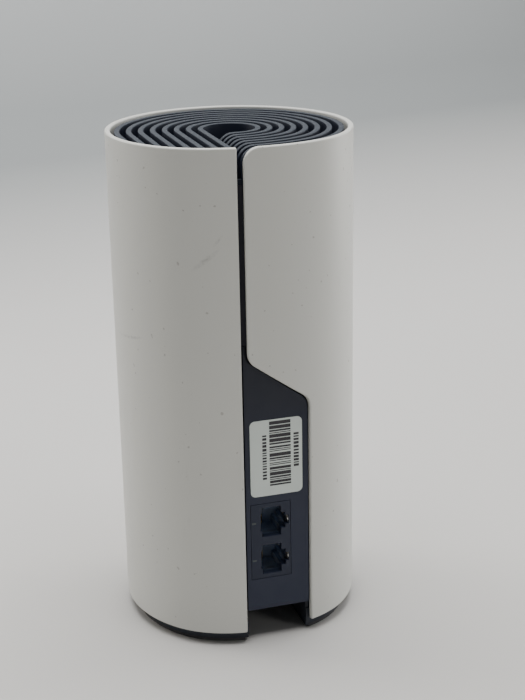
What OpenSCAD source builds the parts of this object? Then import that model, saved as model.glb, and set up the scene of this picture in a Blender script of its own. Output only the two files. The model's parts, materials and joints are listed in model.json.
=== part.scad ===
// Mesh wifi node: a white scroll-shaped sleeve over a dark inner casing that holds a
// vertical circuit board, two heat sinks and three antennas.
// Millimetres. +Z is up, the ports face -Y, and the origin is on the sleeve's axis
// at the surface that the node stands on.

/* [Outer sleeve] */
// Outer diameter of the sleeve
body_d = 90.7; // [89:0.1:93]
// Height of the whole node
body_h = 190; // [188:0.5:200]
// Wall thickness of the sleeve
shell_wall = 2; // [1.8:0.1:2.2]
// Height of the sleeve's lower edge above the table
shell_z = 5; // [4.6:0.1:5.4]
// How far the sleeve is flattened on the port side
port_flat = 2.2; // [1.8:0.1:2.4]
// Half the angle over which the port side is flattened
flat_angle = 48; // [44:1:52]

/* [Slit and port window] */
// Left edge of the slit and of the port window
window_left = -9.55; // [-9.7:0.05:-9.4]
// Right edge of the slit above the window
slit_right = -7.4; // [-7.6:0.05:-7.2]
// Right edge of the port window
window_right = 16.6; // [16.4:0.1:16.8]
// Height where the sloping edge meets the slit
slope_top = 113.1; // [110:0.1:116]
// Height where the sloping edge meets the window's right edge
slope_bottom = 95.9; // [94:0.1:98]
// Radius of the window's corners and of the sleeve's top corner
corner_r = 6; // [4:0.5:7]

/* [Top grille] */
// Number of ridges
ridge_count = 8; // [6:1:8]
// Distance from one ridge to the next
ridge_pitch = 4.35; // [4.2:0.05:4.35]
// Width of a ridge
ridge_w = 2; // [1.6:0.1:2.2]
// How far the ridge tops lie below the sleeve's rim
ridge_drop = 0.8; // [0.6:0.1:2]

/* [Ports] */
// Height of the middle of the two network sockets
port_mid_z = 41; // [40:0.5:42]
// Distance between the two network sockets
port_pitch = 15.3; // [15:0.1:15.5]
// Width of a network socket
port_w = 11.8; // [11.7:0.05:12]
// Y of the port panel's front face
panel_y = -40; // [-40.2:0.1:-39.8]
// Height of the power socket's axis above the table
jack_z = 8; // [7.8:0.1:8.2]
// Diameter of the power socket's bore
jack_bore = 6.2; // [6:0.1:6.4]
// Diameter of the power socket's centre pin
jack_pin = 2; // [1.9:0.1:2.1]

/* [Controls] */
// Diameter of the reset button
button_d = 3.9; // [3.6:0.1:3.9]
// Travel of the reset button
button_travel = 0.5; // [0.3:0.1:0.6]
// Travel of the power switch's slider
slider_travel = 2; // [1.6:0.1:2]

/* [Hidden] */
$fn = 48;

// Heights
shell_r = body_d / 2;
plan_step = 5;
base_z = 1.2;
base_top = 3.2;
deck_z = 16;
deck_t = 2;
shoulder_t = 1.6;
grille_top = body_h - ridge_drop;
grille_h = 11;
grille_z = grille_top - grille_h;
chassis_top = grille_z - shoulder_t;

// Insets from the sleeve's outer face
shoulder_inset = 4.6;
grille_inset = shell_wall + 0.3;
chassis_inset = shell_wall + 0.4;
base_inset = 3.4;
chassis_wall = 1.8;

// Sloping edge of the window
slope_angle = atan2(slope_top - slope_bottom, window_right - slit_right);
fillet = corner_r * tan((90 - slope_angle) / 2);

// Panel, sockets and cable channel
panel_t = 1.8;
panel_back = panel_y + panel_t;
panel_left = window_left + 1.15;
panel_right = window_right - 0.9;
panel_bottom = 12.8;
frame_left = -6.7;
frame_right = 8.7;
frame_h = 2 * port_pitch;
frame_gap = 0.15;
socket_left = -2.4;
socket_right = 5;
socket_depth = 13;
rj45_depth = 18;
shield_t = 0.25;
channel_left = -8.4;
channel_right = 15;
channel_back = -9.2;
channel_roof = 14;
channel_wall = 1.2;

// Circuit board
pcb_x = 9;
pcb_t = 1.6;
pcb_right = pcb_x + pcb_t;
pcb_top = 160;
pcb_y = 36;
tab_front = -7.8;
tab_back = 34;
tab_z = 4.2;
jack_x = pcb_x - 6.5;
jack_front = -7.8;
jack_depth = 9.5;
jack_tail = jack_pin - 0.4;

// Controls under the base
button_x = 5.8;
button_y = 16;
button_flange_z = base_top + 0.05;
plunger_z = 4.35;
slider_x = 6.8;
slider_y = 28.3;
switch_y = slider_y - slider_travel / 2;
switch_w = 8.6;

// Fasteners: hole in the threaded piece, clearance hole, shank and head
screw_d = 2.9;
thread_d = 3;
clear_d = 3.3;
head_d = 5;
head_h = 1.6;
counterbore_d = 5.6;
base_screw_at = [[-28, -18], [28, -18], [-28, 18], [28, 18]];
chassis_screw_x = 37.2;
chassis_screw_zs = [40, 105];
pcb_screw_ys = [-14, 28];
pcb_screw_z = 22;
grille_screw_r = 36.4;
grille_screw_angles = [-35, 50, 150];

// Heat sinks
sink_z = 64;
sink_h = 86;
sink_left_x = 3.2;
sink_right_x = 14.6;
sink_base = 3;
sink_screw_ys = [-22.2, 20.1];
sink_screw_zs = [sink_z + 4, sink_z + sink_h - 4];
sink_head_d = 4;

// Radios and antennas
radio_zs = [70, 108];
radio_size = [3, 28, 28];
antenna_z = 120;
antenna_size = [0.8, 14, 40];
coax_d = 1.2;
cable_sides = 8;
cable_left = [
    [-36.2, 9, 119.4], [-35, 9, 114], [-31, 9, 109], [-29, 9, 103], [-29, 9, 80],
    [-29, 10, 64], [-26, 12, 58], [-20, 15, 56], [-8, 22, 56], [1, 26, 56], [7.4, 26, 56]
];
cable_right = [
    [36.2, 9, 119.4], [35.4, 9, 115], [32, 9, 110], [30.5, 9, 104], [30.5, 9, 80],
    [30.5, 10, 64], [28.5, 13, 58], [24, 17, 56], [18, 20, 56], [12.2, 20, 56]
];
cable_rear = [
    [-5, 37.2, 119.4], [-5, 36.4, 112], [-5, 36.2, 100], [-5, 36.2, 80],
    [-5, 36.2, 60], [-4, 35.6, 54], [-1, 34, 51], [3, 32, 50], [7.4, 32, 50]
];

// Radius of the sleeve's outer face at an angle, flattened around -Y
function flattening(a) = 0.5 + 0.5 * cos(180 * min(1, abs(a + 90) / flat_angle));
function plan_r(a) = shell_r - port_flat * flattening(a);
function arc(c, r, from, to) =
    [for (i = [0:8]) let (a = from + (to - from) * i / 8) c + r * [cos(a), sin(a)]];

// Footprint of the sleeve, moved inwards
module plan(inset) {
    polygon([for (a = [-270:plan_step:90 - plan_step]) (plan_r(a) - inset) * [cos(a), sin(a)]]);
}

module slab(z0, z1, inset) {
    translate([0, 0, z0]) linear_extrude(z1 - z0) plan(inset);
}

module ring(z0, z1, outer, inner) {
    translate([0, 0, z0]) linear_extrude(z1 - z0) difference() {
        plan(outer);
        plan(inner);
    }
}

// Box from one corner to the opposite one
module block(from, to) {
    translate(from) cube(to - from);
}

// Round bar along X, Y or Z from a point
module bar_x(from, length, d) {
    translate(from) rotate([0, 90, 0]) cylinder(d = d, h = length);
}

module bar_y(from, length, d) {
    translate(from) rotate([-90, 0, 0]) cylinder(d = d, h = length);
}

module bar_z(from, length, d) {
    translate(from) cylinder(d = d, h = length);
}

// Opening in the sleeve: slit, sloping edge and port window, seen along +Y
module window_outline() {
    polygon(concat(
        [[window_left, -1], [window_right, -1]],
        arc([window_right - corner_r, slope_bottom - fillet], corner_r, 0, 90 - slope_angle),
        arc([slit_right + corner_r, slope_top + fillet], corner_r, 270 - slope_angle, 180),
        arc([slit_right + corner_r, body_h - corner_r], corner_r, 180, 90),
        [[slit_right + corner_r, body_h + 1], [window_left, body_h + 1]]
    ));
}

module outer_shell() {
    color("gainsboro") difference() {
        union() {
            ring(shell_z, body_h, 0, shell_wall);
            ring(chassis_top, grille_z, shell_wall / 2, shoulder_inset);
        }
        rotate([90, 0, 0]) linear_extrude(body_d) window_outline();
    }
}

// One ridge of the grille: straight on the left, round the back, and straight
// again to the slit on the port side
module ridge(i) {
    r = 10.5 + ridge_pitch * i;
    half = ridge_w / 2;
    front = r * plan_r(-90) / shell_r;
    polygon(concat(
        [[-r - half, -shell_r]],
        [for (a = [180:-plan_step:-90]) (r * plan_r(a) / shell_r + half) * [cos(a), sin(a)]],
        [[slit_right, -front - half], [slit_right, -front + half]],
        [for (a = [-90:plan_step:180]) (r * plan_r(a) / shell_r - half) * [cos(a), sin(a)]],
        [[-r + half, -shell_r]]
    ));
}

// Rounds the ridges' ends downwards at the slit
module ridge_end_cut() {
    difference() {
        block([slit_right - 1, -shell_r, grille_top - corner_r], [slit_right + corner_r, -8, grille_top + 1]);
        bar_y([slit_right + corner_r, -shell_r - 1, grille_top - corner_r], shell_r + 2, 2 * corner_r);
    }
}

module grille_bosses(z0, length, d) {
    for (a = grille_screw_angles)
        bar_z([grille_screw_r * cos(a), grille_screw_r * sin(a), z0], length, d);
}

module top_grille() {
    rib_h = 3;
    color("slategray") difference() {
        union() {
            intersection() {
                slab(grille_z, grille_top, grille_inset);
                translate([0, 0, grille_z]) linear_extrude(grille_h)
                    for (i = [0:ridge_count - 1]) ridge(i);
            }
            ring(grille_z, grille_z + 5, grille_inset, grille_inset + 1.2);
            intersection() {
                slab(grille_z, grille_z + rib_h, grille_inset + 0.5);
                difference() {
                    translate([0, 0, grille_z]) union() {
                        for (a = [-45:45:180])
                            rotate(a) translate([9.6, -0.8, 0]) cube([shell_r, 1.6, rib_h]);
                        for (y = [-32, -18])
                            translate([-shell_r, y, 0]) cube([shell_r - 9.6, 1.6, rib_h]);
                        translate([-6, -shell_r, 0]) cube([1.6, shell_r - 9.2, rib_h]);
                    }
                    translate([0, 0, -1]) cylinder(r = 9.5, h = body_h);
                }
            }
            grille_bosses(chassis_top, grille_h - 2.5, 6);
        }
        grille_bosses(chassis_top - 1, grille_h - 2.5, thread_d);
        ridge_end_cut();
        block([-10.5 + ridge_w / 2, -shell_r, grille_z - 1], [slit_right, -9.4, body_h]);
    }
}

// Bosses that join the casing's halves, along Y
module chassis_bosses(from, length, d) {
    for (side = [-1, 1])
        for (z = chassis_screw_zs)
            bar_y([side * chassis_screw_x, from, z], length, d);
}

module base_bosses(side, z0, length, d) {
    for (p = base_screw_at)
        if (p[1] * side > 0) bar_z([p[0], p[1], z0], length, d);
}

// Rails that hold an upright edge of the circuit board
module pcb_rails(y0, y1, z0) {
    for (x = [pcb_x - 1.4, pcb_right + 0.2])
        block([x, y0, z0], [x + 1.2, y1, 150]);
}

// Post that the circuit board is screwed to
module pcb_post(y) {
    block([pcb_right, y - 3, deck_z], [pcb_right + 8, y + 3, pcb_screw_z + 3]);
}

module pcb_slot() {
    block([pcb_x - 0.4, tab_front - 0.5, deck_z - 1], [pcb_right + 0.4, pcb_y + 0.5, deck_z + deck_t + 0.2]);
}

// Parts that both halves of the casing have; side is -1 at the front, 1 at the rear
module chassis_half(side) {
    intersection() {
        union() {
            ring(deck_z, chassis_top, chassis_inset, chassis_inset + chassis_wall);
            slab(deck_z, deck_z + deck_t, chassis_inset + 0.5);
            intersection() {
                slab(chassis_top - 3, chassis_top, chassis_inset + 0.5);
                grille_bosses(chassis_top - 3, 3, 13);
            }
        }
        translate([-body_d / 2, side > 0 ? 0.05 : -body_d / 2, 0]) cube([body_d, body_d / 2 - 0.05, body_h]);
    }
}

module chassis_front() {
    wall_top = 121;
    color("dimgray") difference() {
        union() {
            chassis_half(-1);
            intersection() {
                slab(deck_z, wall_top, chassis_inset + 0.2);
                block([window_left - 3, panel_back, deck_z], [window_right + 2, panel_back + 1.6, wall_top]);
            }
            intersection() {
                slab(deck_z, chassis_top, chassis_inset + 0.5);
                chassis_bosses(-10, 9.95, 8);
            }
            base_bosses(-1, 6.2, deck_z - 5, 7);
            pcb_rails(panel_back + 1, -34, 62);
            pcb_post(pcb_screw_ys[0]);
        }
        block([panel_left - 1.4, -body_d, deck_z - 1], [panel_right + 1.4, panel_back, wall_top - 2]);
        block([frame_left - 0.6, panel_back - 1, port_mid_z - frame_h / 2 - 0.6],
            [frame_right + 0.3, panel_back + 2, port_mid_z + frame_h / 2 + 0.6]);
        block([pcb_x - 0.2, panel_back + 1.7, 62 - 1], [pcb_right + 0.2, -30, 151]);
        for (x = [-36, 17]) block([x, -32, deck_z - 1], [x + 15, -23, deck_z + deck_t + 1]);
        pcb_slot();
        chassis_bosses(-9, 10, thread_d);
        base_bosses(-1, 5, 10, thread_d);
        grille_bosses(chassis_top - 4, 5, clear_d);
        bar_x([pcb_right - 1, pcb_screw_ys[0], pcb_screw_z], 8, thread_d);
    }
}

module chassis_rear() {
    bar_top = chassis_top - 3.6;
    color("dimgray") difference() {
        union() {
            chassis_half(1);
            intersection() {
                slab(deck_z, chassis_top, chassis_inset + 0.5);
                union() {
                    chassis_bosses(0.05, 24, 8.6);
                    block([-shell_r, 3, bar_top - 2], [shell_r, 7, bar_top]);
                    for (side = [-1, 1])
                        block([side * 39 - 2.4, 8, antenna_z + 2], [side * 39 + 2.4, 10, antenna_z + 38]);
                    block([-6, 38.8, antenna_z + 2], [-4, shell_r, antenna_z + 38]);
                    pcb_rails(34, shell_r, 20);
                }
            }
            base_bosses(1, 6.2, deck_z - 5, 7);
            pcb_post(pcb_screw_ys[1]);
        }
        block([pcb_x - 0.2, 30, 19], [pcb_right + 0.2, pcb_y + 0.3, 151]);
        block([-22, 8, deck_z - 1], [-2, 28, deck_z + deck_t + 1]);
        pcb_slot();
        chassis_bosses(-1, 9, clear_d);
        chassis_bosses(6, 30, counterbore_d);
        base_bosses(1, 5, 10, thread_d);
        grille_bosses(chassis_top - 4, 5, clear_d);
        bar_x([pcb_right - 1, pcb_screw_ys[1], pcb_screw_z], 8, thread_d);
    }
}

// Flat panel behind the window, with the same sloping top
module port_panel() {
    gap = 0.35;
    color("darkslategray") difference() {
        translate([0, panel_back, 0]) rotate([90, 0, 0]) linear_extrude(panel_t) polygon(concat(
            [[panel_left, panel_bottom], [panel_right, panel_bottom]],
            arc([panel_right - corner_r, slope_bottom - fillet - gap], corner_r, 0, 90 - slope_angle),
            arc([slit_right - gap + corner_r, slope_top + fillet - gap], corner_r, 270 - slope_angle, 180),
            [[slit_right - gap, 118.5], [panel_left, 118.5]]
        ));
        block([frame_left - frame_gap, panel_y - 1, port_mid_z - frame_h / 2 - frame_gap],
            [frame_right + frame_gap, panel_back + 1, port_mid_z + frame_h / 2 + frame_gap]);
    }
}

module inventory_label() {
    label_size = [20, 30];
    round_r = 2;
    color("whitesmoke") translate([3.5, panel_y, 74.4]) rotate([90, 0, 0]) linear_extrude(0.15) union() {
        square([label_size[0] - 2 * round_r, label_size[1]], center = true);
        square([label_size[0], label_size[1] - 2 * round_r], center = true);
        for (x = [-1, 1])
            for (y = [-1, 1])
                translate([x * (label_size[0] / 2 - round_r), y * (label_size[1] / 2 - round_r)]) circle(round_r);
    }
}

// Calls its children at the middle of each network socket
module at_sockets(which = [-1, 1]) {
    for (s = which) translate([0, 0, port_mid_z + s * port_pitch / 2]) children();
}

module socket_void() {
    half = port_w / 2;
    end = panel_y + socket_depth;
    block([socket_left, panel_y - 1, -half], [socket_right, end, half]);
    block([socket_right - 0.1, panel_y - 1, -3.2], [6.7, end, 3.2]);
    block([6.6, panel_y - 1, -1.7], [8, end, 1.7]);
    block([socket_left - 0.6, panel_y - 1, -3.6], [socket_left + 0.1, panel_y + 1.4, 3.6]);
    block([socket_left - 1, panel_y + 2, -4.3], [socket_left + 0.1, end + 1, 4.3]);
}

module port_led() {
    block([-6.3, panel_y, -0.35], [-4.7, panel_y + 8, 0.35]);
}

module rj45_housing() {
    color("darkslategray") difference() {
        block([frame_left, panel_y, port_mid_z - frame_h / 2],
            [frame_right, panel_y + rj45_depth, port_mid_z + frame_h / 2]);
        at_sockets() socket_void();
        at_sockets() port_led();
    }
}

module rj45_shield() {
    z0 = port_mid_z - frame_h / 2;
    z1 = port_mid_z + frame_h / 2;
    front = panel_back + 1.7;
    back = panel_y + rj45_depth;
    color("silver") difference() {
        block([frame_left - shield_t, front, z0 - shield_t], [frame_right, back + shield_t, z1 + shield_t]);
        block([frame_left, front - 1, z0], [frame_right + 1, back, z1]);
    }
}

// Eight sprung wires that run back along the socket's side and return into it
module rj45_contacts(which) {
    color("gold") at_sockets([which]) for (i = [-3.5:1:3.5])
        translate([0, 0, i * 1.02 - 0.2]) linear_extrude(0.4) polygon([
            [-3.2, -26.2], [-3.2, -37.4], [-2.6, -37.9], [0.9, -29.4],
            [0.5, -29.2], [-2.6, -36.7], [-2.8, -36.7], [-2.8, -26.2]
        ]);
}

module rj45_contacts_lower() rj45_contacts(-1);

module rj45_contacts_upper() rj45_contacts(1);

module port_leds() {
    color("honeydew") at_sockets() port_led();
}

module dc_jack_housing() {
    color("black") difference() {
        block([jack_x - 4.5, jack_front, jack_z - 4.5], [pcb_x, jack_front + 14, jack_z + 4.5]);
        bar_y([jack_x, jack_front - 1, jack_z], jack_depth + 1, jack_bore);
        bar_y([jack_x, jack_front + jack_depth - 1, jack_z], 3.5, jack_tail + 0.1);
    }
}

module dc_jack_contacts() {
    color("silver") {
        bar_y([jack_x, jack_front + 0.8, jack_z], jack_depth - 0.8, jack_pin);
        bar_y([jack_x, jack_front + jack_depth, jack_z], 2, jack_tail);
        block([jack_x - 1, jack_front + 2, jack_z + 2.45], [jack_x + 1, jack_front + 8, jack_z + 2.75]);
    }
}

module base_cover() {
    color("darkslategray") difference() {
        union() {
            slab(base_z, base_top, base_inset);
            ring(base_top - 0.2, 9, chassis_inset, chassis_inset + 1.6);
            base_bosses(-1, base_z, 5, 8);
            base_bosses(1, base_z, 5, 8);
            intersection() {
                slab(base_z, channel_roof + channel_wall, chassis_inset);
                block([channel_left - channel_wall, panel_back + 0.2, base_z],
                    [channel_right + channel_wall, channel_back + channel_wall, channel_roof + channel_wall]);
            }
        }
        block([channel_left, -body_d, -1], [channel_right, channel_back, channel_roof]);
        bar_y([jack_x, channel_back - 1, jack_z], 3, 10.4);
        for (side = [-1, 1]) {
            base_bosses(side, 0, 7, clear_d);
            base_bosses(side, 0, base_z + 2.2, counterbore_d);
        }
        bar_z([button_x, button_y, 0], 5, button_d + 0.1);
        block([slider_x - 1.1, switch_y - slider_travel / 2 - 1.1, 0],
            [slider_x + 1.1, switch_y + slider_travel / 2 + 1.1, 5]);
        for (x = [-34:5:-14]) block([x, -8, 0], [x + 2, 2, 5]);
    }
}

module rubber_foot() {
    color("black") difference() {
        ring(0, base_z, base_inset, base_inset + 6);
        block([channel_left - channel_wall, -body_d, -1], [channel_right + channel_wall, 0, base_z + 1]);
    }
}

module rating_label() {
    color("lightgray") block([-21, 5, base_z - 0.15], [-1, 25, base_z]);
}

module reset_button() {
    color("darkgray") union() {
        bar_z([button_x, button_y, 1], 3.3, button_d);
        bar_z([button_x, button_y, button_flange_z], 1.05, button_d + 1.7);
    }
}

module reset_switch() {
    color("dimgray") difference() {
        block([button_x - 2, button_y - 3, 6.2], [pcb_x, button_y + 3, 9.7]);
        bar_z([button_x, button_y, 5], 3.4 + button_travel / 2, 2.1);
    }
}

module switch_plunger() {
    color("ivory") bar_z([button_x, button_y, plunger_z], 3.4, 2);
}

module power_switch_body() {
    color("silver") difference() {
        block([slider_x - 2.2, switch_y - switch_w / 2, 5.6], [pcb_x, switch_y + switch_w / 2, 9.6]);
        block([slider_x - 1.5, switch_y - 2.7, 6.1], [slider_x + 1.5, switch_y + 2.7, 8.3]);
        block([slider_x - 0.95, switch_y - 1.95, 5], [slider_x + 0.95, switch_y + 1.95, 7]);
    }
}

module power_slider() {
    color("black") union() {
        block([slider_x - 1.35, slider_y - 1.5, 6.2], [slider_x + 1.35, slider_y + 1.5, 8.1]);
        block([slider_x - 0.8, slider_y - 0.8, 1.5], [slider_x + 0.8, slider_y + 0.8, 6.3]);
    }
}

module main_pcb() {
    color("seagreen") difference() {
        union() {
            block([pcb_x, -pcb_y, deck_z + deck_t + 0.4], [pcb_right, pcb_y, pcb_top]);
            block([pcb_x, tab_front, tab_z], [pcb_right, tab_back, deck_z + deck_t + 1]);
        }
        for (y = pcb_screw_ys) bar_x([pcb_x - 1, y, pcb_screw_z], 4, clear_d);
        for (y = sink_screw_ys)
            for (z = sink_screw_zs) bar_x([pcb_x - 1, y, z], 4, clear_d);
    }
}

// Chip or block that lies on the left face of the board
module on_left(y, z, size) {
    translate([pcb_x - size[0], y, z]) cube(size);
}

module soc_chip() {
    color("darkslategray") on_left(-8, 97, [1.8, 20, 20]);
}

module memory_chips() {
    color("black") {
        on_left(-22, 96, [1.1, 9, 12]);
        on_left(-22, 112, [1.1, 9, 12]);
        on_left(14, 42, [1.2, 6, 8]);
    }
}

module crystal() {
    color("silver") on_left(15.5, 104, [1, 2.5, 3.2]);
}

module lan_transformers() {
    color("black") for (z = [26, 41.5]) on_left(-20.5, z, [5, 12, 14.5]);
}

module power_inductor() {
    color("gray") on_left(-3, 38, [4.5, 10, 10]);
}

module power_capacitors() {
    color("slateblue") for (y = [-3, 7, 17]) bar_x([pcb_x - 11, y, 28], 11, 8);
}

module radio_chips() {
    color("black") for (z = radio_zs)
        block([pcb_right, -6, z + 8], [pcb_right + 1.4, 6, z + 20]);
}

// Tinned covers over the radios, open towards the board
module radio_shields() {
    color("silver") for (z = radio_zs) difference() {
        translate([pcb_right, -radio_size[1] / 2, z]) cube(radio_size);
        block([pcb_right - 1, 0.3 - radio_size[1] / 2, z + 0.3],
            [pcb_right + radio_size[0] - 0.3, radio_size[1] / 2 - 0.3, z + radio_size[2] - 0.3]);
    }
}

module sink_screw_holes(d) {
    for (y = sink_screw_ys)
        for (z = sink_screw_zs) bar_x([0, y, z], 25, d);
}

module heat_sink_left() {
    fins = 10;
    y0 = -26;
    width = 56;
    fin_t = 1.6;
    color("lightsteelblue") difference() {
        union() {
            translate([sink_left_x, y0, sink_z]) cube([sink_base, width, sink_h]);
            for (i = [0:fins - 1])
                translate([sink_left_x - 25, y0 + i * (width - fin_t) / (fins - 1), sink_z])
                    cube([25.5, fin_t, sink_h]);
        }
        for (y = sink_screw_ys)
            for (z = sink_screw_zs) bar_x([sink_left_x - 1, y, z], sink_base + 2, clear_d);
    }
}

module heat_sink_right() {
    fins = 9;
    width = 48;
    fin_t = 1.4;
    color("lightsteelblue") difference() {
        union() {
            translate([sink_right_x, -24, sink_z]) cube([sink_base, width, sink_h]);
            for (i = [0:fins - 1])
                translate([sink_right_x + 2.5, -24 + i * (width - fin_t) / (fins - 1), sink_z])
                    cube([10, fin_t, sink_h]);
        }
        for (y = sink_screw_ys)
            for (z = sink_screw_zs) bar_x([sink_right_x - 1, y, z], sink_base + 2, thread_d);
    }
}

module thermal_pad_left() {
    color("lightpink") block([sink_left_x + sink_base, -8, 97], [pcb_x - 1.8, 12, 117]);
}

module thermal_pads_right() {
    color("lightpink") for (z = radio_zs)
        block([pcb_right + radio_size[0], -10, z + 4], [sink_right_x, 10, z + 24]);
}

module status_led() {
    color("white") on_left(-1.6, pcb_top - 3.6, [1.8, 3.2, 3.2]);
}

// Diffuser disc under the well in the grille, with a stem down to the lamp
module light_pipe() {
    disc_z = chassis_top - 3.6;
    color("aliceblue") union() {
        bar_z([0, 0, disc_z], 2, 17);
        bar_z([6.2, 0, pcb_top + 0.3], disc_z - pcb_top, 4);
    }
}

module antenna_left() {
    color("olivedrab") translate([-36.6, 2, antenna_z]) cube(antenna_size);
}

module antenna_right() {
    color("olivedrab") translate([35.8, 2, antenna_z]) cube(antenna_size);
}

module antenna_rear() {
    color("olivedrab") translate([-12, 38, antenna_z]) cube([14, 0.8, 40]);
}

// Thin cable through a list of points, with a ring of corners at each point
function unit(v) = v / norm(v);
function heading(p, i) = unit(p[min(i + 1, len(p) - 1)] - p[max(i - 1, 0)]);
function cable_ring(p, i) =
    let (t = heading(p, i), u = unit(cross(t, [0.3, 0.9, 0.2])), v = cross(t, u))
    [for (k = [0:cable_sides - 1]) let (a = 360 * k / cable_sides)
        p[i] + coax_d / 2 * (u * cos(a) + v * sin(a))];

module cable(p) {
    n = cable_sides;
    rings = len(p);
    polyhedron(
        points = [for (i = [0:rings - 1]) each cable_ring(p, i)],
        faces = concat(
            [[for (k = [n - 1:-1:0]) k]],
            [for (i = [0:rings - 2]) for (k = [0:n - 1])
                [i * n + k, i * n + (k + 1) % n, (i + 1) * n + (k + 1) % n, (i + 1) * n + k]],
            [[for (k = [0:n - 1]) (rings - 1) * n + k]]
        )
    );
}

module antenna_cable_left() {
    color("gray") cable(cable_left);
}

module antenna_cable_right() {
    color("gray") cable(cable_right);
}

module antenna_cable_rear() {
    color("gray") cable(cable_rear);
}

module coax_plugs() {
    color("gold") {
        bar_x([pcb_x - 1.6, 26, 56], 1.6, 3);
        bar_x([pcb_x - 1.6, 32, 50], 1.6, 3);
        bar_x([pcb_right, 20, 56], 1.6, 3);
    }
}

// Pan-head screw that points up from its head
module screw(length, head) {
    translate([0, 0, -head_h]) cylinder(d = head, h = head_h);
    cylinder(d = screw_d, h = length);
}

module base_screws() {
    color("silver") for (p = base_screw_at) translate([p[0], p[1], base_z + 2.2]) screw(11, head_d);
}

module chassis_screws() {
    color("silver") for (side = [-1, 1])
        for (z = chassis_screw_zs)
            translate([side * chassis_screw_x, 6, z]) rotate([90, 0, 0]) screw(14, head_d);
}

module pcb_screws() {
    color("silver") for (y = pcb_screw_ys)
        translate([pcb_x, y, pcb_screw_z]) rotate([0, 90, 0]) screw(8, head_d);
}

module grille_screws() {
    color("silver") for (a = grille_screw_angles)
        translate([grille_screw_r * cos(a), grille_screw_r * sin(a), chassis_top - 3]) screw(10, head_d);
}

module heat_sink_screws() {
    color("silver") for (y = sink_screw_ys)
        for (z = sink_screw_zs)
            translate([sink_left_x, y, z]) rotate([0, 90, 0]) screw(sink_right_x - sink_left_x + 2.5, sink_head_d);
}

outer_shell();
top_grille();
chassis_front();
chassis_rear();
port_panel();
inventory_label();
rj45_housing();
rj45_shield();
rj45_contacts_lower();
rj45_contacts_upper();
port_leds();
dc_jack_housing();
dc_jack_contacts();
base_cover();
rubber_foot();
rating_label();
reset_button();
reset_switch();
switch_plunger();
power_switch_body();
power_slider();
main_pcb();
soc_chip();
memory_chips();
radio_chips();
radio_shields();
lan_transformers();
power_inductor();
power_capacitors();
crystal();
heat_sink_left();
heat_sink_right();
thermal_pad_left();
thermal_pads_right();
status_led();
light_pipe();
antenna_left();
antenna_right();
antenna_rear();
antenna_cable_left();
antenna_cable_right();
antenna_cable_rear();
coax_plugs();
base_screws();
chassis_screws();
pcb_screws();
grille_screws();
heat_sink_screws();
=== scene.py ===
"""Mesh wifi node: the looks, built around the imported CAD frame."""
import json
import math
import random

import bmesh
import bpy
import numpy as np
from mathutils import Matrix, Vector, geometry


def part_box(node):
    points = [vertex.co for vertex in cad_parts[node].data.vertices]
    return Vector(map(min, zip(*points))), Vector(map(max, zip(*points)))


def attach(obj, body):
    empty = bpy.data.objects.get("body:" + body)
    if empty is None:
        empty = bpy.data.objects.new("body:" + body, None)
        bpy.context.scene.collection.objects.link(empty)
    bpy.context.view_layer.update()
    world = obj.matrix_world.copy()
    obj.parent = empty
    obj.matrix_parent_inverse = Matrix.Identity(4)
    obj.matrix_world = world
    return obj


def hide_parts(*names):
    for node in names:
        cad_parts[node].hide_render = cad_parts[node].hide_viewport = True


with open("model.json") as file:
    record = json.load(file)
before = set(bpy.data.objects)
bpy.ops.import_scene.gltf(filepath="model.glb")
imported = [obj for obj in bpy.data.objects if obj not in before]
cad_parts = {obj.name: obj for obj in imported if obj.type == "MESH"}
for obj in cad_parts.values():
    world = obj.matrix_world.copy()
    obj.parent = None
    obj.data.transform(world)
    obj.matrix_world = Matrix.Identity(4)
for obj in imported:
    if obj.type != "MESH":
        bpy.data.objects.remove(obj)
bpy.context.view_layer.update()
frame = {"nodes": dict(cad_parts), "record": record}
BODY = "node_body"
MM = 0.001

# ---------------------------------------------------------------- sizes, metres

SHELL_LOW, SHELL_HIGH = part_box("outer_shell")
GRILLE_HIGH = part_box("top_grille")[1]
PANEL_LOW, PANEL_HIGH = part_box("port_panel")
RATING_LOW, RATING_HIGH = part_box("rating_label")
SOCKET_LOW, SOCKET_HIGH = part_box("rj45_housing")
LABEL_LOW, LABEL_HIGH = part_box("inventory_label")

RADIUS = SHELL_HIGH.x
PORT_FLAT = RADIUS + SHELL_LOW.y
FLAT_ANGLE = 48
WALL = 2 * MM
EDGE_R = 0.6 * MM

WINDOW_LEFT = PANEL_LOW.x - 1.15 * MM
WINDOW_RIGHT = PANEL_HIGH.x + 0.9 * MM
SLIT_RIGHT = WINDOW_LEFT + 2.15 * MM
SLOPE_TOP = 113.1 * MM
SLOPE_BOTTOM = 95.9 * MM
CORNER_R = 6 * MM
SMALL_CORNER_R = 0.6 * MM
SLOPE = math.degrees(math.atan2(SLOPE_TOP - SLOPE_BOTTOM, WINDOW_RIGHT - SLIT_RIGHT))
FILLET = CORNER_R * math.tan(math.radians((90 - SLOPE) / 2))

RIDGES = 8
RIDGE_FIRST_R = 10.5 * MM
RIDGE_PITCH = 4.35 * MM
RIDGE_W = 2 * MM
RIDGE_TOP_R = 0.25 * MM
GRILLE_TOP = GRILLE_HIGH.z
GRILLE_FLOOR = GRILLE_TOP - 11 * MM
GRILLE_INSET = 2.3 * MM
CASING_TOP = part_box("chassis_front")[1].z
SHOULDER_INSET = 3.2 * MM
SHOULDER_ANGLES = (-106, -97)

# Faint marks on the sleeve: place, turn in radians, length and width
RUB_MARKS = (
    ((-0.0209, -0.0403, 0.151), 0.7, 0.0065, 0.0011),
    ((-0.0165, -0.0422, 0.158), 0.9, 0.003, 0.0006),
    ((-0.043, -0.014, 0.118), 0.5, 0.004, 0.0007),
    ((0.031, 0.033, 0.142), -0.4, 0.008, 0.001),
)


# ---------------------------------------------------------------- shared helpers

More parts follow.
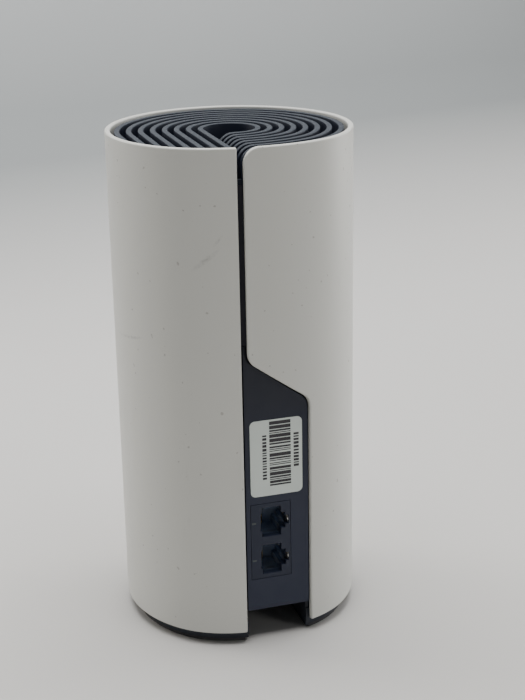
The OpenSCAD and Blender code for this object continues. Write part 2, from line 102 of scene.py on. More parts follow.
def plan_radius(angle, inset=0.0):
    """Radius of the sleeve's footprint at an angle in degrees, flattened around -Y."""
    away = np.abs((angle + 270) % 360 - 180)
    part = np.minimum(1, away / FLAT_ANGLE)
    return RADIUS - inset - PORT_FLAT * (0.5 + 0.5 * np.cos(np.pi * part))


def polar(radius, angle):
    turn = np.radians(angle)
    return np.stack([radius * np.cos(turn), radius * np.sin(turn)], axis=-1)


def arc(centre, radius, start, stop, count):
    """Points of an arc, angles in degrees."""
    return [(centre[0] + radius * math.cos(math.radians(a)),
             centre[1] + radius * math.sin(math.radians(a)))
            for a in np.linspace(start, stop, count)]


def new_object(name, mesh, material, body=BODY):
    mesh.materials.append(material)
    obj = bpy.data.objects.new(name, mesh)
    bpy.context.scene.collection.objects.link(obj)
    if body:
        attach(obj, body)
    return obj


def mesh_from(name, verts, faces, smooth=True):
    mesh = bpy.data.meshes.new(name)
    mesh.from_pydata([tuple(v) for v in verts], [], faces)
    mesh.validate()
    mesh.update()
    mesh.polygons.foreach_set("use_smooth", [smooth] * len(mesh.polygons))
    return mesh


def mesh_from_bmesh(name, bm, smooth=False):
    bmesh.ops.recalc_face_normals(bm, faces=bm.faces)
    mesh = bpy.data.meshes.new(name)
    bm.to_mesh(mesh)
    bm.free()
    mesh.polygons.foreach_set("use_smooth", [smooth] * len(mesh.polygons))
    return mesh


# ---------------------------------------------------------------- materials

class Nodes:
    """Short way to build a material's nodes around its Principled shader."""

    def __init__(self, name, colour, roughness, metallic=0.0, **sockets):
        self.material = bpy.data.materials.new(name)
        self.material.use_nodes = True
        self.tree = self.material.node_tree
        self.shader = self.tree.nodes["Principled BSDF"]
        self.set("Base Color", (*colour, 1))
        self.set("Roughness", roughness)
        self.set("Metallic", metallic)
        for socket, value in sockets.items():
            self.set(socket.replace("_", " "), value)

    def set(self, socket, value):
        self.shader.inputs[socket].default_value = value

    def add(self, kind, **values):
        node = self.tree.nodes.new(kind)
        for key, value in values.items():
            if key in node.inputs:
                node.inputs[key].default_value = value
            else:
                setattr(node, key, value)
        return node

    def link(self, source, target):
        self.tree.links.new(source, target)

    def place(self):
        return self.add("ShaderNodeTexCoord").outputs["Object"]

    def axis(self, name, vector=None):
        """One axis of a vector, by default of the place on the object."""
        split = self.add("ShaderNodeSeparateXYZ")
        self.link(vector or self.place(), split.inputs["Vector"])
        return split.outputs[name]

    def noise(self, size, detail=3.0, stretch=(1, 1, 1), roughness=0.5):
        """Noise whose blotches are about size metres across."""
        mapping = self.add("ShaderNodeMapping", Scale=tuple(s / size for s in stretch))
        self.link(self.place(), mapping.inputs["Vector"])
        node = self.add("ShaderNodeTexNoise", Scale=1.0, Detail=detail, Roughness=roughness)
        self.link(mapping.outputs["Vector"], node.inputs["Vector"])
        return node.outputs["Fac"]

    def ramp(self, source, low, high, start, stop):
        """Colour or grey from start to stop while source goes from low to high."""
        node = self.add("ShaderNodeMapRange")
        node.inputs["From Min"].default_value = low
        node.inputs["From Max"].default_value = high
        node.inputs["To Min"].default_value = start
        node.inputs["To Max"].default_value = stop
        self.link(source, node.inputs["Value"])
        return node.outputs["Result"]

    def mix(self, factor, first, second):
        node = self.add("ShaderNodeMix", data_type="RGBA")
        self.link(factor, node.inputs[0])
        for socket, value in ((node.inputs[6], first), (node.inputs[7], second)):
            if isinstance(value, tuple):
                socket.default_value = (*value, 1)
            else:
                self.link(value, socket)
        return node.outputs[2]

    def rub(self, place, turn, length, width):
        """Mask of one soft, patchy rub mark at a place on the sleeve."""
        mapping = self.add("ShaderNodeMapping", vector_type="TEXTURE", Location=place,
                           Rotation=(0, -turn, 0), Scale=(length, 0.02, width))
        self.link(self.place(), mapping.inputs["Vector"])
        span = self.add("ShaderNodeVectorMath", operation="LENGTH")
        self.link(mapping.outputs["Vector"], span.inputs[0])
        patch = self.add("ShaderNodeMath", operation="MULTIPLY")
        self.link(self.ramp(span.outputs["Value"], 0.2, 1, 0.6, 0), patch.inputs[0])
        self.link(self.ramp(self.noise(0.0011, detail=5), 0.3, 0.65, 0, 1), patch.inputs[1])
        return patch.outputs["Value"]

    def bump(self, height, strength, distance):
        node = self.add("ShaderNodeBump", Strength=strength, Distance=distance)
        self.link(height, node.inputs["Height"])
        if self.shader.inputs["Normal"].links:
            self.link(self.shader.inputs["Normal"].links[0].from_socket, node.inputs["Normal"])
        self.link(node.outputs["Normal"], self.shader.inputs["Normal"])

    def colour(self, source):
        self.link(source, self.shader.inputs["Base Color"])

    def roughness(self, source):
        self.link(source, self.shader.inputs["Roughness"])


def moulded(name, colour, roughness, variation=0.06, grain=0.00035, depth=0.00002, **sockets):
    """Moulded plastic: fine grain, faint colour drift and uneven sheen."""
    n = Nodes(name, colour, roughness, **sockets)
    drift = n.noise(0.018, detail=4)
    lighter = tuple(min(1, c * (1 + variation)) for c in colour)
    darker = tuple(c * (1 - variation) for c in colour)
    n.colour(n.mix(drift, darker, lighter))
    n.roughness(n.ramp(n.noise(0.006, detail=5), 0.3, 0.7, roughness - 0.06, roughness + 0.07))
    n.bump(n.noise(grain, detail=2), 0.35, depth)
    return n.material


def panel_material():
    """Navy plastic, a little paler towards its lower end: painted bounce light low down and painted shade
    higher up.
    """
    n = Nodes("panel_navy", (0.012, 0.016, 0.031), 0.48, Specular_IOR_Level=0.4)
    top = n.mix(n.noise(0.018, detail=4), (0.0058, 0.0082, 0.0185), (0.0075, 0.0102, 0.022))
    low = n.mix(n.noise(0.018, detail=4), (0.0130, 0.0185, 0.042), (0.0155, 0.0215, 0.047))
    # Painted light and shade: the colour goes by height from the paler, bounce-lit tone at 50 mm to the
    # darker, shaded tone at 110 mm.
    n.colour(n.mix(n.ramp(n.axis("Z"), 0.05, 0.11, 0, 1), low, top))
    n.roughness(n.ramp(n.noise(0.006, detail=5), 0.3, 0.7, 0.42, 0.55))
    n.bump(n.noise(0.00035, detail=2), 0.35, 0.00002)
    return n.material


def socket_material():
    """The bezel's navy outside, and inside the sockets a much paler colour that is painted light, lifting
    the shade deep in the sockets.
    """
    n = Nodes("socket_plastic", (0.016, 0.021, 0.04), 0.46, Specular_IOR_Level=0.35)
    face = n.mix(n.noise(0.018, detail=4), (0.013, 0.018, 0.037), (0.016, 0.022, 0.044))
    # Painted light: the plastic turns paler from 2 mm to 6 mm behind the socket face, standing in for
    # light in the shaded socket insides.
    inside = n.ramp(n.axis("Y"), SOCKET_LOW.y + 2 * MM, SOCKET_LOW.y + 6 * MM, 0, 1)
    n.colour(n.mix(inside, face, (0.24, 0.31, 0.45)))
    n.roughness(n.ramp(n.noise(0.006, detail=5), 0.3, 0.7, 0.40, 0.52))
    n.bump(n.noise(0.00035, detail=2), 0.35, 0.00002)
    return n.material


def shell_material():
    colour = (0.640, 0.640, 0.600)
    n = Nodes("shell_white", colour, 0.42, IOR=1.46)
    n.set("Subsurface Weight", 0.04)
    n.set("Subsurface Radius", (0.0012, 0.0011, 0.0009))
    drift = n.noise(0.05, detail=3)
    clean = n.mix(drift, tuple(c * 0.985 for c in colour), tuple(c * 1.015 for c in colour))
    scuffs = n.ramp(n.noise(0.02, detail=8, stretch=(1, 1, 0.3), roughness=0.7), 0.66, 0.74, 0, 0.22)
    specks = n.ramp(n.noise(0.0016, detail=0), 0.825, 0.85, 0, 0.5)
    worn = n.mix(scuffs, clean, (0.46, 0.45, 0.42))
    for place, turn, length, width in RUB_MARKS:
        worn = n.mix(n.rub(place, turn, length, width), worn, (0.36, 0.355, 0.34))
    n.colour(n.mix(specks, worn, (0.28, 0.26, 0.23)))
    n.roughness(n.ramp(n.noise(0.004, detail=5), 0.3, 0.7, 0.37, 0.47))
    n.bump(n.noise(0.0005, detail=2), 0.25, 0.00002)
    return n.material


def grille_material():
    """Dark blue-grey plastic with painted light and shade: faces that look up are painted paler as if lit
    from above, the ridges' sides darker as painted shade.
    """
    n = Nodes("grille_grey", (0.05, 0.06, 0.07), 0.5, Specular_IOR_Level=0.18)
    normal = n.add("ShaderNodeTexCoord").outputs["Normal"]
    # Painted light: faces that look up get the paler tone, which varies a little at random, and faces
    # that look sideways or down get the dark tone as painted shade.
    painted_top_light = n.ramp(n.axis("Z", normal), 0.3, 0.75, 0, 1)
    top = n.mix(n.noise(0.01, detail=4), (0.037, 0.044, 0.056), (0.048, 0.056, 0.069))
    n.colour(n.mix(painted_top_light, (0.014, 0.018, 0.031), top))
    n.roughness(n.ramp(n.noise(0.003, detail=5), 0.3, 0.7, 0.45, 0.58))
    n.bump(n.noise(0.0003, detail=2), 0.3, 0.00002)
    return n.material


def metal(name, colour, roughness, grain=(1, 1, 14), **sockets):
    """Metal with a drawn grain and faint tarnish."""
    n = Nodes(name, colour, roughness, metallic=1.0, **sockets)
    tarnish = n.noise(0.004, detail=5)
    n.colour(n.mix(tarnish, tuple(c * 0.82 for c in colour), colour))
    streaks = n.noise(0.0012, detail=4, stretch=grain)
    n.roughness(n.ramp(streaks, 0.3, 0.7, roughness - 0.08, roughness + 0.1))
    n.bump(n.noise(0.0006, detail=3, stretch=grain), 0.15, 0.00002)
    return n.material


def board_material(name, mask, trace):
    """Circuit board: solder mask with paler copper tracks and dull drill marks."""
    n = Nodes(name, mask, 0.32)
    voronoi = n.add("ShaderNodeTexVoronoi", Scale=420.0, feature="DISTANCE_TO_EDGE", distance="MANHATTAN")
    n.link(n.place(), voronoi.inputs["Vector"])
    tracks = n.ramp(voronoi.outputs["Distance"], 0.06, 0.09, 1, 0)
    speckle = n.ramp(n.noise(0.002, detail=6), 0.56, 0.60, 0, 0.35)
    n.colour(n.mix(speckle, n.mix(tracks, mask, trace), trace))
    n.bump(tracks, 0.3, 0.00004)
    return n.material


def rubber_material():
    n = Nodes("foot_rubber", (0.055, 0.055, 0.058), 0.82)
    n.colour(n.mix(n.noise(0.005, detail=5), (0.045, 0.045, 0.048), (0.070, 0.068, 0.070)))
    n.bump(n.noise(0.0007, detail=5), 0.6, 0.00006)
    return n.material


def paper_material(name, colour):
    n = Nodes(name, colour, 0.5)
    n.colour(n.mix(n.noise(0.008, detail=4), tuple(c * 0.97 for c in colour), colour))
    n.roughness(n.ramp(n.noise(0.002, detail=4), 0.3, 0.7, 0.42, 0.56))
    n.bump(n.noise(0.0006, detail=4), 0.25, 0.00001)
    return n.material


def lens_material():
    n = Nodes("lens_clear", (0.34, 0.36, 0.36), 0.35, IOR=1.49)
    n.set("Subsurface Weight", 0.35)
    n.set("Subsurface Radius", (0.002, 0.002, 0.002))
    n.roughness(n.ramp(n.noise(0.001, detail=4), 0.3, 0.7, 0.28, 0.45))
    n.bump(n.noise(0.0004, detail=2), 0.3, 0.00002)
    return n.material


def backdrop_material():
    """Paper, a little warm on the floor, with painted shade: darker towards the front of the floor and
    greyer where it sweeps up, painted lighter higher up the wall.
    """
    n = Nodes("backdrop", (0.60, 0.60, 0.59), 0.8)
    floor = n.mix(n.noise(0.6, detail=2), (0.64, 0.625, 0.605), (0.67, 0.66, 0.64))
    # Painted shade: the floor darkens towards the front.
    floor_with_painted_front_shade = n.mix(n.ramp(n.axis("Y"), -0.14, 0.25, 0, 1), (0.585, 0.57, 0.545), floor)
    # Painted shade: the sweep turns to the dark wall tone within 0.07 m of the floor, and the wall is
    # painted lighter from 0.1 m to 0.3 m up as painted light.
    rise = n.ramp(n.axis("Z"), 0, 0.07, 0, 1)
    wall = n.mix(n.ramp(n.axis("Z"), 0.1, 0.3, 0, 1), (0.31, 0.325, 0.327), (0.57, 0.58, 0.583))
    n.colour(n.mix(rise, floor_with_painted_front_shade, wall))
    return n.material


MATERIALS = {
    "shell_white": shell_material(),
    "grille_grey": grille_material(),
    "casing_black": moulded("casing_black", (0.025, 0.024, 0.034), 0.6, Specular_IOR_Level=0.25),
    "panel_navy": panel_material(),
    "label_white": paper_material("label_white", (0.67, 0.73, 0.69)),
    "label_silver": paper_material("label_silver", (0.50, 0.51, 0.52)),
    "label_ink": moulded("label_ink", (0.03, 0.028, 0.034), 0.5, variation=0.15),
    "socket_plastic": socket_material(),
    "tinned_steel": metal("tinned_steel", (0.58, 0.58, 0.56), 0.34),
    "gold_contact": metal("gold_contact", (0.86, 0.64, 0.27), 0.25),
    "nickel": metal("nickel", (0.66, 0.65, 0.62), 0.24),
    "lens_clear": lens_material(),
    "led_unlit": moulded("led_unlit", (0.055, 0.07, 0.075), 0.35),
    "led_white": moulded("led_white", (0.78, 0.77, 0.62), 0.35),
    "jack_black": moulded("jack_black", (0.014, 0.014, 0.015), 0.38),
    "base_plastic": moulded("base_plastic", (0.030, 0.034, 0.046), 0.55, Specular_IOR_Level=0.3),
    "foot_rubber": rubber_material(),
    "button_grey": moulded("button_grey", (0.12, 0.125, 0.13), 0.45),
    "switch_black": moulded("switch_black", (0.02, 0.02, 0.02), 0.45),
    "plunger_ivory": moulded("plunger_ivory", (0.62, 0.56, 0.42), 0.45),
    "slider_black": moulded("slider_black", (0.018, 0.018, 0.018), 0.5),
    "pcb_green": board_material("pcb_green", (0.012, 0.10, 0.045), (0.03, 0.20, 0.08)),
    "antenna_green": board_material("antenna_green", (0.02, 0.13, 0.06), (0.45, 0.30, 0.12)),
    "chip_black": moulded("chip_black", (0.02, 0.02, 0.022), 0.6, variation=0.15),
    "ferrite_grey": moulded("ferrite_grey", (0.09, 0.09, 0.095), 0.6, variation=0.15),
    "capacitor_sleeve": moulded("capacitor_sleeve", (0.03, 0.045, 0.17), 0.3),
    "sink_aluminium": metal("sink_aluminium", (0.36, 0.37, 0.39), 0.42, grain=(14, 14, 1)),
    "thermal_pad": moulded("thermal_pad", (0.50, 0.32, 0.37), 0.8, variation=0.12),
    "coax_grey": moulded("coax_grey", (0.16, 0.16, 0.165), 0.5),
    "screw_zinc": metal("screw_zinc", (0.56, 0.56, 0.54), 0.3),
}


# ---------------------------------------------------------------- CAD nodes that stay

BEVELS = {
    "port_panel": 0.35, "rj45_housing": 0.18, "base_cover": 0.3, "rubber_foot": 0.35,
    "chassis_front": 0.25, "chassis_rear": 0.25, "dc_jack_housing": 0.3, "reset_button": 0.25,
    "power_slider": 0.15, "heat_sink_left": 0.15, "heat_sink_right": 0.15,
}
DEFAULT_BEVEL = 0.08
UNLIT = ["port_leds"]


def dress_cad_nodes():
    """Gives every CAD node its material and softens its edges."""
    slots = {row["node"]: row["material_slot"] for row in frame["record"]["subparts"]}
    for name, obj in frame["nodes"].items():
        obj.data.materials.clear()
        obj.data.materials.append(MATERIALS["led_unlit" if name in UNLIT else slots[name]])
        weld = obj.modifiers.new("weld", "WELD")
        weld.merge_threshold = 0.000001
        bevel = obj.modifiers.new("bevel", "BEVEL")
        bevel.width = BEVELS.get(name, DEFAULT_BEVEL) * MM
        bevel.segments = 2
        bevel.limit_method = "ANGLE"
        bevel.angle_limit = math.radians(40)
        bevel.use_clamp_overlap = True
        bevel.harden_normals = False


# ---------------------------------------------------------------- sleeve

class Unrolled:
    """The sleeve's outer face laid flat: u runs round it from the slit, z up it."""

    def __init__(self):
        self.angle = np.linspace(-112, 264, 7521)
        self.xy = polar(plan_radius(self.angle), self.angle)
        step = np.linalg.norm(np.diff(self.xy, axis=0), axis=1)
        self.u = np.concatenate([[0], np.cumsum(step)])
        along = np.gradient(self.xy, axis=0)
        along /= np.linalg.norm(along, axis=1)[:, None]
        self.along = along
        self.normal = np.stack([along[:, 1], -along[:, 0]], axis=1)

    def at(self, field, u):
        return np.stack([np.interp(u, self.u, field[:, k]) for k in (0, 1)], axis=-1)

    def u_of_x(self, x, left_end=False):
        """u of a point with that x on the port side, at the start or the end of the wrap."""
        part = self.angle > 180 if left_end else self.angle < -45
        order = np.argsort(self.xy[part, 0])
        return float(np.interp(x, self.xy[part, 0][order], self.u[part][order]))


def straight(start, stop, step):
    """Points from start up to, not including, stop."""
    count = max(2, int(math.dist(start, stop) / step))
    return [(start[0] + (stop[0] - start[0]) * k / count,
             start[1] + (stop[1] - start[1]) * k / count) for k in range(count)]


def window_edge():
    """The window's edge from the sleeve's top down to its bottom, as (x, z)."""
    top, bottom, r = SHELL_HIGH.z, SHELL_LOW.z, CORNER_R
    roll = arc((SLIT_RIGHT + r, top - r), r, 90, 180, 20)
    upper = arc((SLIT_RIGHT + r, SLOPE_TOP + FILLET), r, 180, 270 - SLOPE, 14)
    lower = arc((WINDOW_RIGHT - r, SLOPE_BOTTOM - FILLET), r, 90 - SLOPE, 0, 14)
    foot = (WINDOW_RIGHT, bottom + SMALL_CORNER_R)
    return (roll + straight(roll[-1], upper[0], 0.003)[1:] + upper
            + straight(upper[-1], lower[0], 0.003)[1:] + lower
            + straight(lower[-1], foot, 0.003)[1:])


def sleeve_outline(sheet):
    """Closed outline of the sleeve laid flat, anticlockwise."""
    top, bottom, r = SHELL_HIGH.z, SHELL_LOW.z, SMALL_CORNER_R
    left = sheet.u_of_x(WINDOW_LEFT, left_end=True)
    right = sheet.u_of_x(WINDOW_RIGHT)
    edge = [(sheet.u_of_x(x), z) for x, z in window_edge()]
    start = arc((right + r, bottom + r), r, 180, 270, 6)
    low = arc((left - r, bottom + r), r, 270, 360, 6)
    high = arc((left - r, top - r), r, 0, 90, 6)
    return np.array(edge + start + straight(start[-1], low[0], 0.002)[1:] + low
                    + straight(low[-1], high[0], 0.003)[1:] + high
                    + straight(high[-1], edge[0], 0.002)[1:])


def inward_normals(loop):
    """Unit normals that point into a closed anticlockwise outline."""
    ahead = np.roll(loop, -1, axis=0) - loop
    behind = loop - np.roll(loop, 1, axis=0)
    ahead /= np.linalg.norm(ahead, axis=1)[:, None]
    behind /= np.linalg.norm(behind, axis=1)[:, None]
    along = ahead + behind
    along /= np.linalg.norm(along, axis=1)[:, None]
    return np.stack([-along[:, 1], along[:, 0]], axis=1)


def fill_inside(loop, pitch):
    """Triangles inside a closed outline, with a grid of points to keep them even."""
    low, high = loop.min(0), loop.max(0)
    columns = np.arange(low[0] + pitch / 2, high[0], pitch)
    rows = np.arange(low[1] + pitch / 2, high[1], pitch)
    grid = np.array([(u, z) for u in columns for z in rows])
    a, b = loop, np.roll(loop, -1, axis=0)
    crossing = ((a[:, 1] > grid[:, 1:2]) != (b[:, 1] > grid[:, 1:2]))
    with np.errstate(divide="ignore", invalid="ignore"):
        at = a[:, 0] + (grid[:, 1:2] - a[:, 1]) / (b[:, 1] - a[:, 1]) * (b[:, 0] - a[:, 0])
    inside = (crossing & (grid[:, 0:1] < at)).sum(1) % 2 == 1
    grid = grid[inside]
    gap = np.array([np.min(np.sum((loop - p) ** 2, axis=1)) for p in grid])
    grid = grid[gap > (0.55 * pitch) ** 2]
    points = np.concatenate([loop, grid])
    count = len(loop)
    edges = [(k, (k + 1) % count) for k in range(count)]
    made = geometry.delaunay_2d_cdt([Vector(p) for p in points], edges, [], 1, 1e-7)
    faces = [tuple(made[3][k][0] for k in face) for face in made[2]]
    return points, faces


def build_sleeve():
    """A sheet of even thickness with rounded edges, wrapped round the node."""
    sheet = Unrolled()
    outline = sleeve_outline(sheet)
    inward = inward_normals(outline)
    turns = np.radians([0, 22, 45, 67, 90])
    rings = [outline + EDGE_R * (1 - math.cos(t)) * inward for t in turns]
    points, triangles = fill_inside(rings[-1], 3 * MM)
    count = len(outline)
    verts, normals, faces = [], [], []

    def place(flat, depth, facing):
        """Adds points at a depth below the outer face; facing is (outward, along u, up)."""
        xy = sheet.at(sheet.xy, flat[:, 0])
        out = sheet.at(sheet.normal, flat[:, 0])
        along = sheet.at(sheet.along, flat[:, 0])
        base = len(verts)
        for k in range(len(flat)):
            p = xy[k] - depth * out[k]
            verts.append((p[0], p[1], flat[k, 1]))
            o, u, z = facing if np.ndim(facing) == 1 else facing[k]
            side = o * out[k] + u * along[k]
            normals.append((side[0], side[1], z))
        return base

    def ring_facing(turn, sign):
        out = np.full(count, sign * math.sin(turn))
        return np.column_stack([out, -math.cos(turn) * inward[:, 0], -math.cos(turn) * inward[:, 1]])

    def bridge(a, b, flip):
        for k in range(count):
            n = (k + 1) % count
            face = (a + k, a + n, b + n, b + k)
            faces.append(face[::-1] if flip else face)

    bases = {}
    for sign, flip in ((1, False), (-1, True)):
        for j, turn in enumerate(turns[:-1]):
            rise = EDGE_R * (1 - math.sin(turn))
            depth = rise if sign > 0 else WALL - rise
            bases[sign, j] = place(rings[j], depth, ring_facing(turn, sign))
        depth = 0 if sign > 0 else WALL
        top = place(points, depth, np.array([sign, 0, 0]))
        bases[sign, len(turns) - 1] = top
        for j in range(len(turns) - 1):
            bridge(bases[sign, j], bases[sign, j + 1], flip)
        for face in triangles:
            whole = tuple(top + k for k in face)
            faces.append(whole[::-1] if flip else whole)
    bridge(bases[-1, 0], bases[1, 0], False)

    mesh = mesh_from("sleeve", verts, faces)
    mesh.normals_split_custom_set_from_vertices([tuple(n) for n in normals])
    sleeve = new_object("sleeve", mesh, MATERIALS["shell_white"])
    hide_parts("outer_shell")
    return sleeve


# ---------------------------------------------------------------- grille

def ridge_frames(index):
    """Points along a ridge's top with its upward and sideways directions and depth."""
    r = RIDGE_FIRST_R + RIDGE_PITCH * index
    reach = GRILLE_INSET + 0.3 * MM
    wall = [a for a in np.arange(180, 270, 0.25) if polar(plan_radius(a - 360, reach), a)[0] > -r]
    start_y = polar(plan_radius(wall[0] - 360, reach), wall[0])[1] if r < RADIUS - reach else 0
    angles = np.arange(180, -90.1, -3)
    curve = polar(r * plan_radius(angles) / RADIUS, angles)
    front = -curve[-1, 1]
    roll_x = SLIT_RIGHT + CORNER_R
    flat = [(-r, start_y * (1 - k / 12)) for k in range(12)]
    flat += [tuple(p) for p in curve]
    flat += [(roll_x * k / 3, -front) for k in (1, 2, 3)]
    flat = np.array(flat)
    along = np.gradient(flat, axis=0)
    along /= np.linalg.norm(along, axis=1)[:, None]
    full = GRILLE_TOP - GRILLE_FLOOR
    frames = [(Vector((p[0], p[1], GRILLE_TOP)), Vector((0, 0, 1)), Vector((-t[1], t[0], 0)), full)
              for p, t in zip(flat, along)]
    side = frames[-1][2]
    for turn in np.radians(np.linspace(0, 90, 10)):
        up = Vector((-math.sin(turn), 0, math.cos(turn)))
        centre = Vector((roll_x, -front, GRILLE_TOP - CORNER_R))
        frames.append((centre + CORNER_R * up, up, side, CORNER_R * 0.96))
    last = Vector((SLIT_RIGHT, -front, GRILLE_FLOOR))
    frames.append((last, Vector((-1, 0, 0)), side, CORNER_R * 0.96))
    return frames


def ridge_profile(depth):
    """Half-round-shouldered section of a ridge, as (sideways, down)."""
    half, r = RIDGE_W / 2, RIDGE_TOP_R
    left = [(-half + r - r * math.sin(a), r - r * math.cos(a)) for a in np.radians([90, 60, 30, 0])]
    right = [(-x, d) for x, d in left[::-1]]
    return [(-half, depth)] + left + right + [(half, depth)]


def add_ridge(verts, faces, index):
    base = len(verts)
    frames = ridge_frames(index)
    for point, up, side, depth in frames:
        verts.extend(point + side * x - up * d for x, d in ridge_profile(depth))
    size = len(ridge_profile(1))
    for k in range(len(frames) - 1):
        for j in range(size):
            n = (j + 1) % size
            a, b = base + k * size, base + (k + 1) * size
            faces.append((a + j, a + n, b + n, b + j))
    faces.append(tuple(base + j for j in range(size))[::-1])
    faces.append(tuple(base + (len(frames) - 1) * size + j for j in range(size)))


def add_bar(bm, start, stop, width, low, high):
    """Upright bar between two points in plan."""
    start, stop = Vector(start).to_3d(), Vector(stop).to_3d()
    side = (stop - start).cross(Vector((0, 0, 1))).normalized() * width / 2
    ring = [start - side, stop - side, stop + side, start + side]
    lower = [bm.verts.new((p.x, p.y, low)) for p in ring]
    upper = [bm.verts.new((p.x, p.y, high)) for p in ring]
    for k in range(4):
        n = (k + 1) % 4
        bm.faces.new((lower[k], lower[n], upper[n], upper[k]))
    bm.faces.new(lower[::-1])
    bm.faces.new(upper)


def add_collar(bm, low, high):
    """Thin wall that follows the sleeve inside, open at the slit."""
    angles = np.arange(-99, 256, 3)
    rows = []
    for inset, z in ((GRILLE_INSET, low), (GRILLE_INSET, high), (GRILLE_INSET + 1.2 * MM, high),
                     (GRILLE_INSET + 1.2 * MM, low)):
        wrapped = np.where(angles > 180, angles - 360, angles)
        ring = polar(plan_radius(wrapped, inset), angles)
        rows.append([bm.verts.new((p[0], p[1], z)) for p in ring])
    for j in range(4):
        a, b = rows[j], rows[(j + 1) % 4]
        for k in range(len(angles) - 1):
            bm.faces.new((a[k], a[k + 1], b[k + 1], b[k]))
    for k in (0, -1):
        bm.faces.new([row[k] for row in rows])


def build_grille():
    """Eight ridges that wrap from the left side round the back to the slit."""
    verts, faces = [], []
    for index in range(RIDGES):
        add_ridge(verts, faces, index)
    mesh = mesh_from("ridges", verts, faces)
    bm = bmesh.new()
    bm.from_mesh(mesh)
    bmesh.ops.recalc_face_normals(bm, faces=bm.faces)
    bm.to_mesh(mesh)
    bm.free()
    mesh.set_sharp_from_angle(angle=math.radians(50))
    ridges = new_object("ridges", mesh, MATERIALS["grille_grey"])
    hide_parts("top_grille")

    bm = bmesh.new()
    rib_top = GRILLE_FLOOR + 3 * MM
    for angle in (-45, 0, 45, 90, 135, 180):
        inner = polar(9.8 * MM, angle)
        outer = polar(plan_radius(angle, GRILLE_INSET + 0.5 * MM), angle)
        add_bar(bm, inner, outer, 1.6 * MM, GRILLE_FLOOR, rib_top)
    for y, reach in ((-31.2 * MM, 28.5 * MM), (-17.2 * MM, 38 * MM)):
        add_bar(bm, (-9.9 * MM, y), (-reach, y), 1.6 * MM, GRILLE_FLOOR, rib_top)
    add_bar(bm, (-5.2 * MM, -9.6 * MM), (-5.2 * MM, -39.5 * MM), 1.6 * MM, GRILLE_FLOOR, rib_top)
    add_collar(bm, GRILLE_FLOOR, GRILLE_FLOOR + 5 * MM)
    # The shoulder under the grille, where the slit shows it
    shoulder = [polar(plan_radius(angle, SHOULDER_INSET), angle) for angle in SHOULDER_ANGLES]
    add_bar(bm, *shoulder, 1.2 * MM, CASING_TOP - 0.5 * MM, GRILLE_FLOOR + 0.4 * MM)
    frame_mesh = mesh_from_bmesh("grille_frame", bm)
    new_object("grille_frame", frame_mesh, MATERIALS["grille_grey"])


# ---------------------------------------------------------------- label print

def on_label(x, z, out):
    return x, LABEL_LOW.y - out, z


def on_rating(x, y, out):
    return x, y, RATING_LOW.z - out


def add_print(bm, place, x0, x1, y0, y1):
    """One thin printed patch on a label's face."""
    corners = [(x0, y0), (x1, y0), (x1, y1), (x0, y1)]
    front = [bm.verts.new(place(*corner, 0.02 * MM)) for corner in corners]
    back = [bm.verts.new(place(*corner, -0.01 * MM)) for corner in corners]
    faces = [bm.faces.new(front), bm.faces.new(back[::-1])]
    for k in range(4):
        n = (k + 1) % 4
        faces.append(bm.faces.new((front[k], back[k], back[n], front[n])))
    bmesh.ops.recalc_face_normals(bm, faces=faces)


def add_dashes(bm, place, rng, x0, x1, start, stop, sizes, gaps):
    """A row of plain dashes that stands for a line of print."""
    y = start
    while y < stop:
        dash = rng.uniform(*sizes) * MM
        add_print(bm, place, x0, x1, y, min(y + dash, stop))
        y += dash + rng.uniform(*gaps) * MM


def build_label_print():
    """Generic bars, and plain dashes in place of the two lines of print."""
    rng = random.Random(7)
    bm = bmesh.new()
    left, low = LABEL_LOW.x, LABEL_LOW.z
    unit = 0.34 * MM
    z = low + 3.8 * MM
    while z < LABEL_HIGH.z - 1.2 * MM:
        bar = unit * rng.choice((1, 2, 2, 3, 4))
        add_print(bm, on_label, left + 7.4 * MM, left + 15.6 * MM, z, z + bar)
        z += bar + unit * rng.choice((1, 1, 1, 2))
    for x0, x1, start, stop in ((4.7, 6.3, 6.6, 24.6), (16.7, 18.7, 10.4, 23.8)):
        add_dashes(bm, on_label, rng, left + x0 * MM, left + x1 * MM,
                   low + start * MM, low + stop * MM, (0.4, 1.1), (0.35, 0.6))
    mesh = mesh_from_bmesh("label_print", bm)
    new_object("label_print", mesh, MATERIALS["label_ink"])


def build_rating_print():
    """Lines of dashes and a frame on the rating label under the node."""
    rng = random.Random(11)
    bm = bmesh.new()
    left = RATING_LOW.x + 1.7 * MM
    for k in range(9):
        x = left + 1.9 * MM * k
        stop = RATING_HIGH.y - (1.5 if k % 3 else 7.5) * MM
        add_dashes(bm, on_rating, rng, x, x + 0.7 * MM, RATING_LOW.y + 1.5 * MM, stop,
                   (0.5, 1.8), (0.4, 0.8))
    for x0 in (RATING_LOW.x + 0.5 * MM, RATING_HIGH.x - 0.7 * MM):
        add_print(bm, on_rating, x0, x0 + 0.2 * MM, RATING_LOW.y + 0.5 * MM, RATING_HIGH.y - 0.5 * MM)
    for y0 in (RATING_LOW.y + 0.5 * MM, RATING_HIGH.y - 0.7 * MM):
        add_print(bm, on_rating, RATING_LOW.x + 0.7 * MM, RATING_HIGH.x - 0.7 * MM, y0, y0 + 0.2 * MM)
    mesh = mesh_from_bmesh("rating_print", bm)
    new_object("rating_print", mesh, MATERIALS["label_ink"])


# ---------------------------------------------------------------- sockets

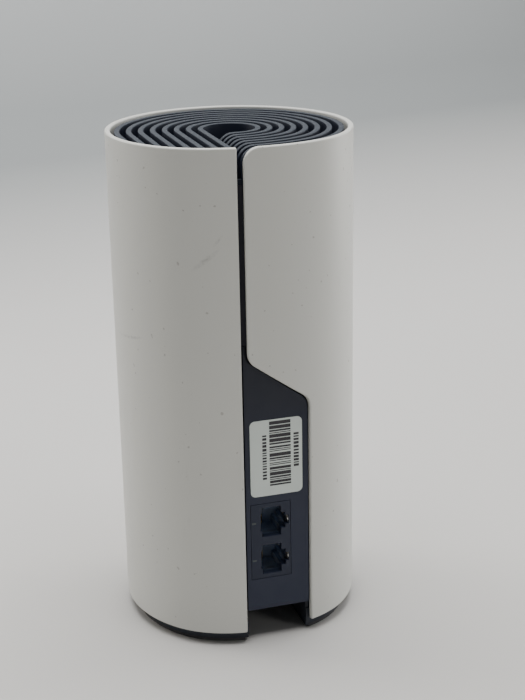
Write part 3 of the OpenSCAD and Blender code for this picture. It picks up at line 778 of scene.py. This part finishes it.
def build_latch_strips():
    """Bent steel strip on the far wall of each socket's latch notch."""
    for name, top in (("lower", False), ("upper", True)):
        middle = SOCKET_LOW.z + (SOCKET_HIGH.z - SOCKET_LOW.z) * (0.75 if top else 0.25)
        bm = bmesh.new()
        notch = SOCKET_HIGH.x - 0.7 * MM
        front = SOCKET_LOW.y + 0.5 * MM
        bends = ((0, 0), (0.35, 0.3), (0.5, 1.6), (0.2, 4), (0, 8))
        profile = [(notch - out * MM, front + back * MM) for out, back in bends]
        rows = [[bm.verts.new((x, y, middle + side * 1.4 * MM)) for x, y in profile] for side in (-1, 1)]
        for k in range(len(profile) - 1):
            bm.faces.new((rows[0][k], rows[0][k + 1], rows[1][k + 1], rows[1][k]))
        mesh = mesh_from_bmesh("latch_strip_" + name, bm, smooth=True)
        strip = new_object("latch_strip_" + name, mesh, MATERIALS["tinned_steel"])
        thick = strip.modifiers.new("thickness", "SOLIDIFY")
        thick.thickness = 0.12 * MM
        thick.offset = 0


# ---------------------------------------------------------------- stage

def build_backdrop():
    """Pale floor that sweeps up into a wall behind the node."""
    front, bend, radius, top = -1.6, 0.3, 0.45, 2.4
    turns = np.radians(range(10, 91, 10))
    profile = [(front, 0.0), (bend, 0.0)]
    profile += [(bend + radius * math.sin(a), radius - radius * math.cos(a)) for a in turns]
    profile += [(bend + radius, top)]
    bm = bmesh.new()
    rows = [[bm.verts.new((x, y, z)) for y, z in profile] for x in (-2.4, 2.4)]
    for k in range(len(profile) - 1):
        bm.faces.new((rows[0][k], rows[1][k], rows[1][k + 1], rows[0][k + 1]))
    mesh = mesh_from_bmesh("backdrop", bm, smooth=True)
    backdrop = new_object("backdrop", mesh, backdrop_material(), body=None)
    backdrop.rotation_euler.z = math.radians(15.5)


def add_light(name, azimuth, distance, height, size, power, colour=(1, 1, 1)):
    """Soft panel that faces the node; azimuth in degrees from +X."""
    lamp = bpy.data.lights.new(name, "AREA")
    lamp.shape = "RECTANGLE"
    lamp.size, lamp.size_y = size
    lamp.energy = power
    lamp.color = colour
    obj = bpy.data.objects.new(name, lamp)
    turn = math.radians(azimuth)
    obj.location = (distance * math.cos(turn), distance * math.sin(turn), height)
    aim = Vector((0, 0, 0.08)) - obj.location
    obj.rotation_euler = aim.to_track_quat("-Z", "Y").to_euler()
    bpy.context.scene.collection.objects.link(obj)


def build_light():
    """Light tent: bright sides and top, and a dimmer front where the camera stands."""
    world = bpy.data.worlds.new("studio")
    world.use_nodes = True
    background = world.node_tree.nodes["Background"]
    background.inputs["Color"].default_value = (0.92, 0.96, 1.0, 1)
    background.inputs["Strength"].default_value = 0.085
    bpy.context.scene.world = world
    add_light("left_panel", 138, 0.9, 0.30, (0.5, 0.7), 8.6, (1, 0.965, 0.925))
    add_light("right_panel", 10, 0.9, 0.30, (0.5, 0.7), 5.4)
    add_light("overhead", 90, 0.04, 1.1, (0.9, 0.9), 18.0)
    add_light("front_fill", -50, 1.3, 0.35, (0.3, 0.5), 2.0)


def build_camera():
    """Stands a little left of the ports and above the node, as a person holding a phone."""
    lens, sensor = 73.5, 36
    azimuth, distance, height = math.radians(-15.77), 519.9 * MM, 282 * MM
    turn, tilt, roll = math.radians(-16.95), math.radians(18.99), math.radians(-1.05)
    data = bpy.data.cameras.new("camera")
    data.sensor_width = sensor
    data.lens = lens
    data.clip_start = 0.01
    camera = bpy.data.objects.new("camera", data)
    camera.location = (math.sin(azimuth) * distance, -math.cos(azimuth) * distance, height)
    aim = Matrix.Rotation(turn, 3, "Z") @ Matrix.Rotation(math.pi / 2 - tilt, 3, "X")
    camera.rotation_euler = (aim @ Matrix.Rotation(roll, 3, "Z")).to_euler()
    bpy.context.scene.collection.objects.link(camera)
    bpy.context.scene.camera = camera


build_camera()
build_backdrop()
build_light()
dress_cad_nodes()
build_sleeve()
build_grille()
build_label_print()
build_rating_print()
build_latch_strips()
